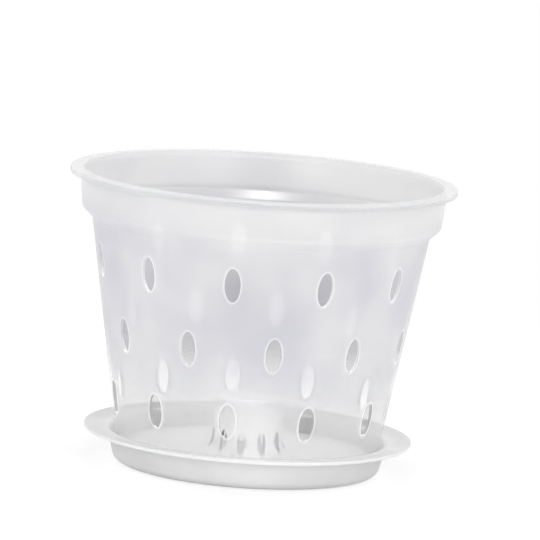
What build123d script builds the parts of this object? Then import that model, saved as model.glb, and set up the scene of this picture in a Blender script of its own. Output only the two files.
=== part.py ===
"""Clear orchid pot with air slots, standing in its own saucer.

The origin is the centre of the saucer's underside, +Z is up and -Y is the front. All sizes are in millimetres.
"""

import os

from build123d import *

# Pot: overall sizes, and the steps and drafts by which its wall narrows from the rim down, per side
rim_diameter = 150.0
pot_height = 112.3
pot_wall = 1.2
lip_thickness = 2.2
lip_width = 4.1
collar_height = 15.1
collar_draft = 1.3
shoulder_height = 3.9
shoulder_width = 4.2
body_draft = 15.55

# Pot: foot ring, its bevel and its air notches
foot_recess = 3.8
foot_ring_width = 1.4
foot_bevel_width = 1.9
foot_bevel_height = 2.4
notch_count = 3
notch_height = 3.4
notch_mouth_width = 12.0
notch_roof_width = 8.0
notch_phase = 51.5

# Pot: air slots in the wall, in staggered rows, depths counted from the rim down to a slot's middle
slots_per_row = 11
slot_width = 6.2
slot_height = 13.2
slot_row_depths = [34.0, 60.5, 87.4]
slot_phase = -8.5

# Pot: raised air cone in the middle of the floor
cone_height = 26.7
cone_top_diameter = 25.4
cone_draft = 1.5
cone_slot_width = 2.4
cone_slot_height = 8.5
cone_slot_sill = 0.5

# Pot: rounded corners, each given for the tighter side of the wall
lip_round = 0.7
shoulder_round = 1.6
cone_edge_round = 1.0
cone_foot_round = 5.0

# Saucer: its fit round the pot's foot and its brim
saucer_height = 13.5
saucer_wall = 1.2
foot_clearance = 0.6
mouth_clearance = 1.8
brim_width = 10.2
brim_rise = 1.0
saucer_corner_round = 2.4
brim_root_round = 1.0

# Angles round the pot are counted from its front, towards +X
front_angle = -90.0

rim_radius = rim_diameter / 2
collar_top_radius = rim_radius - lip_width
collar_foot_radius = collar_top_radius - collar_draft
body_top_radius = collar_foot_radius - shoulder_width
foot_radius = body_top_radius - body_draft
cone_top_radius = cone_top_diameter / 2
cone_foot_radius = cone_top_radius + cone_draft
collar_top = pot_height - lip_thickness
shoulder_top = pot_height - collar_height
shoulder_foot = shoulder_top - shoulder_height
floor_top = foot_recess + pot_wall
body_taper = body_draft / shoulder_foot


def body_radius(height):
    """Outside radius of the tapered body at a height above the foot."""
    return foot_radius + body_taper * height


def corner_beside(before, corner, after, gap):
    """Corner of the line that runs a gap to the left of the legs before-corner-after."""
    first = (Vector(corner) - Vector(before)).normalized()
    second = (Vector(after) - Vector(corner)).normalized()
    first_side = Vector(-first.Y, first.X)
    second_side = Vector(-second.Y, second.X)
    return Vector(corner) + (first_side + second_side) * (gap / (1 + first_side.dot(second_side)))


# Outside corners of the pot's wall, as radius and height
wall_foot = (foot_radius, 0)
body_top = (body_top_radius, shoulder_foot)
collar_foot = (collar_foot_radius, shoulder_top)
lip_root = (collar_top_radius, collar_top)

# Upper corners of the floor and its cone
cone_centre = (0, cone_height)
cone_edge = (cone_top_radius, cone_height)
cone_foot = (cone_foot_radius, floor_top)
floor_edge = (body_radius(floor_top) - pot_wall, floor_top)

# Corners of the foot ring
ring_edge = (foot_radius - foot_bevel_width, 0)
bevel_top = (body_radius(foot_bevel_height), foot_bevel_height)
ring_inside = (ring_edge[0] - foot_ring_width, 0)
recess_edge = (ring_inside[0] + body_taper * foot_recess, foot_recess)
floor_seat = (recess_edge[0], floor_top)

# The pot stands on the saucer's floor
pot_plane = Plane((0, 0, saucer_wall), x_dir=(1, 0, 0), z_dir=(0, -1, 0))

# One air slot, lying along +X with its middle at height zero
with BuildPart() as wall_slot:
    with BuildSketch(Plane.YZ):
        Ellipse(slot_width / 2, slot_height / 2)
    extrude(amount=rim_radius)

# One slot of the cone, lying along +X with its middle at height zero
with BuildPart() as cone_slot:
    with BuildSketch(Plane.YZ):
        SlotOverall(cone_slot_height, cone_slot_width, rotation=90)
    extrude(amount=cone_foot_radius + cone_foot_round)

# One notch of the foot ring, lying along +X and open below
with BuildPart() as foot_notch:
    with BuildSketch(Plane.YZ.offset(recess_edge[0] - 2 * foot_ring_width)):
        with BuildLine():
            Polyline(
                (-notch_mouth_width / 2, 0),
                (notch_mouth_width / 2, 0),
                (notch_roof_width / 2, notch_height),
                (-notch_roof_width / 2, notch_height),
                close=True,
            )
        make_face()
    extrude(amount=rim_radius)

# Pot shell: lip, collar, shoulder, slotted body and notched foot ring
with BuildPart() as pot_shell:
    with BuildSketch(pot_plane):
        with BuildLine():
            inside = FilletPolyline(
                floor_seat,
                floor_edge,
                corner_beside(wall_foot, body_top, collar_foot, pot_wall),
                corner_beside(body_top, collar_foot, lip_root, pot_wall),
                (lip_root[0] - pot_wall, pot_height),
                radius=[0, shoulder_round + pot_wall, shoulder_round],
            )
            outside = FilletPolyline(
                recess_edge,
                ring_inside,
                ring_edge,
                bevel_top,
                body_top,
                collar_foot,
                lip_root,
                (rim_radius, collar_top),
                (rim_radius, pot_height),
                (lip_root[0] - pot_wall, pot_height),
                radius=[0, 0, 0, shoulder_round, shoulder_round + pot_wall, 0, lip_round, lip_round],
            )
            Line(inside @ 0, outside @ 0)
        make_face()
    revolve(axis=Axis.Z)
    for row, depth in enumerate(slot_row_depths):
        row_phase = slot_phase + (row % 2) * 180 / slots_per_row
        with Locations((0, 0, saucer_wall + pot_height - depth)):
            with PolarLocations(0, slots_per_row, front_angle + row_phase):
                add(wall_slot.part, mode=Mode.SUBTRACT)
    with Locations((0, 0, saucer_wall)):
        with PolarLocations(0, notch_count, front_angle + notch_phase):
            add(foot_notch.part, mode=Mode.SUBTRACT)

# Pot floor: a thin disc with a raised, slotted air cone, moulded on to the top of the foot ring
with BuildPart() as pot_floor:
    with BuildSketch(pot_plane):
        with BuildLine():
            floor_upper = FilletPolyline(
                cone_centre,
                cone_edge,
                cone_foot,
                floor_seat,
                radius=[cone_edge_round + pot_wall, cone_foot_round],
            )
            floor_lower = FilletPolyline(
                (0, cone_height - pot_wall),
                corner_beside(cone_centre, cone_edge, cone_foot, -pot_wall),
                corner_beside(cone_edge, cone_foot, floor_seat, -pot_wall),
                recess_edge,
                floor_seat,
                radius=[cone_edge_round, cone_foot_round + pot_wall, 0],
            )
            Line(floor_upper @ 0, floor_lower @ 0)
        make_face()
    revolve(axis=Axis.Z)
    with Locations((0, 0, saucer_wall + floor_top + cone_slot_sill + cone_slot_height / 2)):
        with PolarLocations(0, slots_per_row, front_angle + slot_phase):
            add(cone_slot.part, mode=Mode.SUBTRACT)

# Upper corners of the saucer: its floor lies under the foot, and its wall leans out past the pot's body
saucer_centre = (0, saucer_wall)
saucer_corner = (foot_radius + foot_clearance, saucer_wall)
brim_root_height = saucer_height - brim_rise
saucer_mouth = (body_radius(brim_root_height - saucer_wall) + mouth_clearance, brim_root_height)
brim_edge = (saucer_mouth[0] + brim_width, saucer_height)

# Saucer: a shallow dish with a broad, slightly rising brim
with BuildPart() as saucer:
    with BuildSketch(Plane.XZ):
        with BuildLine():
            upper = FilletPolyline(
                saucer_centre,
                saucer_corner,
                saucer_mouth,
                brim_edge,
                (brim_edge[0], saucer_height - saucer_wall),
                radius=[saucer_corner_round, brim_root_round + saucer_wall, 0],
            )
            lower = FilletPolyline(
                (0, 0),
                corner_beside(saucer_centre, saucer_corner, saucer_mouth, -saucer_wall),
                corner_beside(saucer_corner, saucer_mouth, brim_edge, -saucer_wall),
                (brim_edge[0], saucer_height - saucer_wall),
                radius=[saucer_corner_round + saucer_wall, brim_root_round],
            )
            Line(upper @ 0, lower @ 0)
        make_face()
    revolve(axis=Axis.Z)

os.makedirs("parts", exist_ok=True)
for name, piece in [("pot_shell", pot_shell), ("pot_floor", pot_floor), ("saucer", saucer)]:
    piece.part.label = name
    export_step(piece.part, f"parts/{name}.step")
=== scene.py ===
"""Looks of the clear orchid pot and its saucer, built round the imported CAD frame.

Everything is in metres, in the frame of the CAD model: +Z is up and -Y is the front.
"""

import math

import bpy
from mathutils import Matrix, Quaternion, Vector


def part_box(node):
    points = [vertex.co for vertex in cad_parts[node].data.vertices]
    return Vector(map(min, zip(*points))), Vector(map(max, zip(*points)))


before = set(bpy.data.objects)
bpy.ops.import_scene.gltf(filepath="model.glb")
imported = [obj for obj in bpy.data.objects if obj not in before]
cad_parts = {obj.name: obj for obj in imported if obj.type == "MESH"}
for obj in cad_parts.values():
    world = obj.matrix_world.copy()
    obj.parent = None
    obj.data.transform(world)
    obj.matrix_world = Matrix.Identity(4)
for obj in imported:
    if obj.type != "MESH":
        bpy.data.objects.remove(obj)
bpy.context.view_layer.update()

# Camera, as the photograph was taken: far away, a little from above and slightly rolled
CAMERA_PLACE = Vector((0.0, -2.1671, 0.4024))
CAMERA_AIM = Vector((0.0045, 0.0, 0.0772))
CAMERA_LENS = 377.3
CAMERA_SENSOR = 36.0
CAMERA_ROLL = math.radians(3.88)

# Soft boxes, all turned to one point of the pot: name, place, side length and power in watts
LAMP_AIM = Vector((0.0, 0.0, 0.06))
LAMPS = [
    ("front_left", (-1.1, -1.95, 0.6), 1.0, 21.0),
    ("front_right", (1.1, -1.95, 0.6), 1.0, 20.0),
    ("side_left", (-1.65, 0.15, 1.15), 0.8, 14.0),
    ("side_right", (1.65, 0.15, 1.15), 0.8, 15.5),
    ("top", (0.0, -0.1, 1.9), 0.3, 26.0),
]
AMBIENT_STRENGTH = 0.2

# Clear surfaces that one line of sight may cross, enough for both walls, the cone and the saucer
CLEAR_LAYERS = 32

# Floor: it shows the object's shadow near the axis and fades to plain white further out
FLOOR_SIZE = 12.0
FLOOR_DROP = 0.0004
FLOOR_COLOUR = (0.55, 0.55, 0.55, 1.0)
SHADE_COLOUR = (0.36, 0.36, 0.36, 1.0)
SHADE_GLOW = 0.72
SHADE_FADE = (0.12, 0.45)
WHITE = (1.0, 1.0, 1.0, 1.0)

# Heights of the pot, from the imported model
POT_LOW, POT_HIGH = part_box("pot_shell")
FOOT_HEIGHT = POT_LOW.z
RIM_HEIGHT = POT_HIGH.z

# Slots of the wall and the cone, at the angles of the CAD model: every second row is turned by half a pitch. A mark
# round a slot fades in between these two shares of its half width and half height.
SLOTS_PER_ROW = 11
SLOT_PITCH = 2 * math.pi / SLOTS_PER_ROW
SLOT_FRONT = math.radians(-98.5)
SLOT_FADE = (1.10, 0.85)

# Painted marks round the slots, at these depths below the rim: the wall's slots get whitened rims as a painted
# highlight, and the cone's slots get painted shade
WALL_RIM_PAINTED_HIGHLIGHT = {
    "depths": [0.0340, 0.0605, 0.0874],
    "half_width": 0.0037,
    "half_height": 0.0072,
    "haze": 0.78,
    "colour": (0.92, 0.92, 0.92, 1.0),
}
# Painted shade in the cone's slots: their cut faces are darkened as if shadowed by their depth
CONE_SLOT_PAINTED_SHADE = {
    "depths": [0.10255],
    "half_width": 0.0018,
    "half_height": 0.0041,
    "haze": 0.94,
    "colour": (0.38, 0.38, 0.42, 1.0),
}

# Thick edges of the shell, which come in between two levels: the lip's band is darker as painted shade against the
# top lamp, and the foot's band is greyer and milkier
LIP_BAND_PAINTED_SHADE = {"levels": (0.975, 0.980), "haze": 0.50, "colour": (0.77, 0.77, 0.78, 1.0)}
FOOT_BAND = {"levels": (0.050, 0.035), "haze": 0.55, "colour": (0.70, 0.70, 0.70, 1.0)}

# Looks of the pot's two nodes. Stops go by level, from 0 at the foot to 1 at the rim, and give a grey or a colour:
# haze is the milky share of the surface, colour is the colour of the milk (with painted light in the floor node's
# stops), cloud is the strength of the soft clouds, and the inside stops darken the colour where a wall is seen from
# the axis, as painted shade on its inner faces. Glow is the share of the milk that lights up from behind.
SHELL_LOOK = {
    "haze": [(0.0, 0.30), (0.27, 0.30), (0.44, 0.62), (0.80, 0.62), (0.88, 0.57), (1.0, 0.57)],
    "colour": [
        (0.0, 0.91),
        (0.27, 0.91),
        (0.44, (0.875, 0.875, 0.88)),
        (0.80, (0.845, 0.845, 0.85)),
        (0.88, 0.895),
        (1.0, 0.90),
    ],
    "cloud": [(0.22, 0.15), (0.44, 1.0), (0.80, 1.0), (0.90, 0.5)],
    "inside": [
        (0.0, 0.76),
        (0.12, 0.48),
        (0.27, 0.48),
        (0.44, 0.86),
        (0.80, 0.86),
        (0.835, 0.66),
        (0.865, 0.66),
        (0.89, 0.88),
    ],
    "glow": 0.25,
    "slots": WALL_RIM_PAINTED_HIGHLIGHT,
    "bands": [LIP_BAND_PAINTED_SHADE, FOOT_BAND],
}
# The floor node's colour stops paint light: the cone's flanks are lighter as a painted highlight, and the flat floor
# and the cone's top darker as painted shade against the top lamp
FLOOR_LOOK = {
    "haze": [(0.0, 0.55), (0.06, 0.55), (0.10, 0.97)],
    "colour": [(0.0, 0.78), (0.06, 0.78), (0.10, 0.98), (0.20, 0.98), (0.22, 0.80)],
    "cloud": [(0.0, 0.3), (0.1, 0.0)],
    "inside": [(0.0, 0.80), (0.25, 0.70)],
    "glow": 0.02,
    "slots": CONE_SLOT_PAINTED_SHADE,
    "bands": [],
}

# Tint of what is seen through the pot's plastic, by level
CLEAR_TINT = [
    (0.0, 0.99),
    (0.27, 0.99),
    (0.44, (0.87, 0.87, 0.89)),
    (0.80, (0.87, 0.87, 0.89)),
    (0.88, 0.92),
]

# Unevenness of the pot's plastic: the levels wander a little, soft lilac clouds lie in it, and a fine grain covers it
WANDER_NOISE = {"Scale": 32.0, "Detail": 3.0, "Roughness": 0.5}
WANDER_SPAN = (0.3, 0.7)
WANDER_LEVELS = (-0.03, 0.03)
CLOUD_NOISE = {"Scale": 27.0, "Detail": 2.0, "Roughness": 0.5}
CLOUD_SPAN = (0.36, 0.64)
CLOUD_SHADE = (0.875, 0.875, 0.915, 1.0)
CLEAR_SKIN = {
    "grain": {"Scale": 900.0, "Detail": 2.0},
    "roughness": (0.22, 0.4),
    "bump": {"Strength": 0.06, "Distance": 0.0002},
}

# Milky plastic of the saucer, with slow changes of colour and haze under a fine grain
MILKY_NOISE = {"Scale": 40.0, "Detail": 3.0}
MILKY_SPAN = (0.3, 0.7)
MILKY_GREYS = (0.88, 0.92)
MILKY_HAZE = (0.86, 0.93)
MILKY_GLOW = 0.25
MILKY_SKIN = {
    "grain": {"Scale": 600.0, "Detail": 2.0},
    "roughness": (0.34, 0.5),
    "bump": {"Strength": 0.15, "Distance": 0.0003},
}

# Index of refraction of both plastics
PLASTIC_IOR = 1.49

# Distance from the axis times the cosine of a face's turn away from it: below this a face looks inward
INSIDE_LIMIT = -0.001


def new_material(name):
    """An empty node material and its node tree."""
    material = bpy.data.materials.new(name)
    material.use_nodes = True
    material.node_tree.nodes.clear()
    return material, material.node_tree


def add_node(tree, kind, settings=None, inputs=None):
    """A node with its settings and inputs filled in; an input given a socket is linked to it."""
    node = tree.nodes.new(kind)
    for key, value in (settings or {}).items():
        setattr(node, key, value)
    for key, value in (inputs or {}).items():
        if isinstance(value, bpy.types.NodeSocket):
            tree.links.new(value, node.inputs[key])
        else:
            node.inputs[key].default_value = value
    return node


def math_of(tree, operation, *values):
    """The result of a calculation on numbers or sockets."""
    return add_node(tree, "ShaderNodeMath", {"operation": operation}, dict(enumerate(values))).outputs[0]


def vector_of(tree, operation, *values):
    """The outputs of a calculation on vectors or sockets."""
    return add_node(tree, "ShaderNodeVectorMath", {"operation": operation}, dict(enumerate(values))).outputs


def mapped(tree, value, source=(0.0, 1.0), target=(0.0, 1.0), shape="LINEAR"):
    """A value carried over from one span to another, and kept within it."""
    ends = {"From Min": source[0], "From Max": source[1], "To Min": target[0], "To Max": target[1]}
    node = add_node(tree, "ShaderNodeMapRange", {"interpolation_type": shape}, {"Value": value, **ends})
    return node.outputs[0]


def noise_of(tree, place, settings):
    """A noise that lies still on the object."""
    return add_node(tree, "ShaderNodeTexNoise", None, {"Vector": place, **settings}).outputs[0]


def colour_mix(tree, factor, first, second, blend="MIX"):
    """Two colours, mixed by a factor."""
    settings = {"data_type": "RGBA", "blend_type": blend}
    return add_node(tree, "ShaderNodeMix", settings, {"Factor": factor, 6: first, 7: second}).outputs[2]


def shader_mix(tree, factor, first, second):
    """Two shaders, mixed by a factor."""
    return add_node(tree, "ShaderNodeMixShader", None, {0: factor, 1: first, 2: second}).outputs[0]


def ramp_of(tree, factor, stops):
    """A colour ramp with the given stops, each a position and a grey level or a colour."""
    node = add_node(tree, "ShaderNodeValToRGB", None, {"Fac": factor})
    ramp = node.color_ramp
    while len(ramp.elements) < len(stops):
        ramp.elements.new(0.5)
    for element, (position, colour) in zip(ramp.elements, stops):
        element.position = position
        element.color = (*colour, 1) if isinstance(colour, tuple) else (colour, colour, colour, 1)
    return node.outputs[0]


def white_for_viewer(tree):
    """A socket that is 1 where the ray comes from the camera, a reflection or a clear surface."""
    path = add_node(tree, "ShaderNodeLightPath").outputs
    glossy = math_of(tree, "MAXIMUM", path["Is Camera Ray"], path["Is Glossy Ray"])
    return math_of(tree, "MAXIMUM", glossy, path["Is Transmission Ray"])


def make_world():
    """A white surround for the eye, with a soft ambient light of its own."""
    world = bpy.data.worlds.new("studio")
    bpy.context.scene.world = world
    world.use_nodes = True
    tree = world.node_tree
    tree.nodes.clear()
    ambient = add_node(tree, "ShaderNodeBackground", None, {"Color": WHITE, "Strength": AMBIENT_STRENGTH})
    white = add_node(tree, "ShaderNodeBackground", None, {"Color": WHITE, "Strength": 1.0})
    mix = shader_mix(tree, white_for_viewer(tree), ambient.outputs[0], white.outputs[0])
    add_node(tree, "ShaderNodeOutputWorld", None, {"Surface": mix})


def floor_material():
    """A pale floor that looks white and still takes the object's shadow."""
    material, tree = new_material("studio_floor")
    plain = add_node(tree, "ShaderNodeBsdfDiffuse", None, {"Color": FLOOR_COLOUR}).outputs[0]
    shade = add_node(tree, "ShaderNodeBsdfDiffuse", None, {"Color": SHADE_COLOUR}).outputs[0]
    glow = add_node(tree, "ShaderNodeEmission", None, {"Color": WHITE, "Strength": SHADE_GLOW}).outputs[0]
    near = add_node(tree, "ShaderNodeAddShader", None, {0: shade, 1: glow}).outputs[0]
    far = add_node(tree, "ShaderNodeEmission", None, {"Color": WHITE, "Strength": 1.0}).outputs[0]
    place = add_node(tree, "ShaderNodeTexCoord").outputs["Object"]
    reach = vector_of(tree, "LENGTH", place)["Value"]
    seen = shader_mix(tree, mapped(tree, reach, SHADE_FADE, shape="SMOOTHSTEP"), near, far)
    mix = shader_mix(tree, white_for_viewer(tree), plain, seen)
    add_node(tree, "ShaderNodeOutputMaterial", None, {"Surface": mix})
    return material


def make_floor():
    """A wide flat floor just under the saucer."""
    mesh = bpy.data.meshes.new("floor")
    half = FLOOR_SIZE / 2
    corners = [(-half, -half, 0), (half, -half, 0), (half, half, 0), (-half, half, 0)]
    mesh.from_pydata(corners, [], [(0, 1, 2, 3)])
    floor = bpy.data.objects.new("floor", mesh)
    floor.location.z = -FLOOR_DROP
    floor.data.materials.append(floor_material())
    bpy.context.scene.collection.objects.link(floor)


def make_lamp(name, place, size, power):
    """A square soft box that faces the pot."""
    lamp = bpy.data.lights.new(name, "AREA")
    lamp.size = size
    lamp.energy = power
    holder = bpy.data.objects.new(name, lamp)
    holder.location = place
    holder.rotation_euler = (LAMP_AIM - Vector(place)).to_track_quat("-Z", "Y").to_euler()
    bpy.context.scene.collection.objects.link(holder)


def make_camera():
    """The photograph's camera."""
    camera = bpy.data.cameras.new("camera")
    camera.lens = CAMERA_LENS
    camera.sensor_width = CAMERA_SENSOR
    holder = bpy.data.objects.new("camera", camera)
    holder.location = CAMERA_PLACE
    holder.rotation_mode = "QUATERNION"
    level = (CAMERA_AIM - CAMERA_PLACE).to_track_quat("-Z", "Y")
    holder.rotation_quaternion = level @ Quaternion((0, 0, 1), CAMERA_ROLL)
    bpy.context.scene.collection.objects.link(holder)
    bpy.context.scene.camera = holder


def from_inside(tree, place):
    """A socket that is 1 where a wall is seen from the side of the axis and 0 from outside."""
    outward = vector_of(tree, "MULTIPLY", place, (1, 1, 0))[0]
    normal = add_node(tree, "ShaderNodeNewGeometry").outputs["Normal"]
    facing = vector_of(tree, "DOT_PRODUCT", outward, normal)["Value"]
    return math_of(tree, "LESS_THAN", facing, INSIDE_LIMIT)


def round_slots(tree, place, slots):
    """A socket that is 1 within the given half width and height of every slot's middle and 0 elsewhere."""
    parts = add_node(tree, "ShaderNodeSeparateXYZ", None, {0: place}).outputs
    angle = math_of(tree, "ARCTAN2", parts["Y"], parts["X"])
    radius = vector_of(tree, "LENGTH", vector_of(tree, "MULTIPLY", place, (1, 1, 0))[0])["Value"]
    nearest = None
    for row, depth in enumerate(slots["depths"]):
        turn = math_of(tree, "SUBTRACT", angle, SLOT_FRONT + (row % 2) * SLOT_PITCH / 2)
        turn = math_of(tree, "WRAP", turn, SLOT_PITCH / 2, -SLOT_PITCH / 2)
        arc = math_of(tree, "MULTIPLY", turn, radius)
        rise = math_of(tree, "SUBTRACT", parts["Z"], RIM_HEIGHT - depth)
        spot = add_node(tree, "ShaderNodeCombineXYZ", None, {0: arc, 1: rise}).outputs[0]
        share = vector_of(tree, "DIVIDE", spot, (slots["half_width"], slots["half_height"], 1))[0]
        reach = vector_of(tree, "LENGTH", share)["Value"]
        nearest = math_of(tree, "MINIMUM", nearest, reach) if nearest else reach
    return mapped(tree, nearest, SLOT_FADE, shape="SMOOTHSTEP")


def thin_plastic(tree, place, colour, haze, glow_share, clear_colour, skin):
    """The surface of a thin moulding: a clear share, and a milky one that is glossy and partly lit from behind."""
    grain = noise_of(tree, place, skin["grain"])
    roughness = mapped(tree, grain, target=skin["roughness"])
    normal = add_node(tree, "ShaderNodeBump", None, {**skin["bump"], "Height": grain}).outputs[0]
    gloss = add_node(
        tree,
        "ShaderNodeBsdfPrincipled",
        None,
        {"Base Color": colour, "Roughness": roughness, "IOR": PLASTIC_IOR, "Normal": normal},
    ).outputs[0]
    glow = add_node(tree, "ShaderNodeBsdfTranslucent", None, {"Color": colour, "Normal": normal}).outputs[0]
    milk = shader_mix(tree, glow_share, gloss, glow)
    clear = add_node(tree, "ShaderNodeBsdfTransparent", None, {"Color": clear_colour}).outputs[0]
    mix = shader_mix(tree, haze, clear, milk)
    add_node(tree, "ShaderNodeOutputMaterial", None, {"Surface": mix})


def clear_plastic(name, look):
    """Thin milky-clear moulding, with its haze and tint changing from the foot up to the rim."""
    material, tree = new_material(name)
    place = add_node(tree, "ShaderNodeTexCoord").outputs["Object"]
    height = add_node(tree, "ShaderNodeSeparateXYZ", None, {0: place}).outputs["Z"]
    level = mapped(tree, height, (FOOT_HEIGHT, RIM_HEIGHT))
    wander = mapped(tree, noise_of(tree, place, WANDER_NOISE), WANDER_SPAN, WANDER_LEVELS)
    zone = math_of(tree, "ADD", level, wander)

    cloud = mapped(tree, noise_of(tree, place, CLOUD_NOISE), CLOUD_SPAN, shape="SMOOTHSTEP")
    cloud = math_of(tree, "MULTIPLY", cloud, ramp_of(tree, level, look["cloud"]))
    # The milk's colour by level; for the floor node these stops hold painted light
    colour = colour_mix(tree, cloud, ramp_of(tree, zone, look["colour"]), CLOUD_SHADE, "MULTIPLY")

    # Painted light round the slots: a painted highlight on the wall's slot rims, painted shade in the cone's slots
    slots = look["slots"]
    edge = round_slots(tree, place, slots)
    haze = mapped(tree, edge, target=(ramp_of(tree, zone, look["haze"]), slots["haze"]))
    colour = colour_mix(tree, edge, colour, slots["colour"])

    # Painted shade: the colour is darkened where a wall is seen from the axis
    shade = ramp_of(tree, level, look["inside"])
    colour = colour_mix(tree, from_inside(tree, place), colour, shade, "MULTIPLY")
    for band in look["bands"]:
        share = mapped(tree, level, band["levels"])
        haze = mapped(tree, share, target=(haze, band["haze"]))
        colour = colour_mix(tree, share, colour, band["colour"])

    clear_tint = ramp_of(tree, zone, CLEAR_TINT)
    thin_plastic(tree, place, colour, haze, look["glow"], clear_tint, CLEAR_SKIN)
    return material


def milky_plastic(name):
    """Thin satin moulding that lets only a little light through."""
    material, tree = new_material(name)
    place = add_node(tree, "ShaderNodeTexCoord").outputs["Object"]
    cloud = noise_of(tree, place, MILKY_NOISE)
    colour = ramp_of(tree, cloud, list(zip(MILKY_SPAN, MILKY_GREYS)))
    haze = mapped(tree, cloud, MILKY_SPAN, MILKY_HAZE)
    thin_plastic(tree, place, colour, haze, MILKY_GLOW, WHITE, MILKY_SKIN)
    return material


bpy.context.scene.view_settings.view_transform = "Standard"
bpy.context.scene.cycles.transparent_max_bounces = CLEAR_LAYERS
make_world()
make_floor()
make_camera()
for lamp in LAMPS:
    make_lamp(*lamp)

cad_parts["pot_shell"].material_slots[0].material = clear_plastic("clear_shell", SHELL_LOOK)
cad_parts["pot_floor"].material_slots[0].material = clear_plastic("clear_floor", FLOOR_LOOK)
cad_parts["saucer"].material_slots[0].material = milky_plastic("milky_plastic_look")
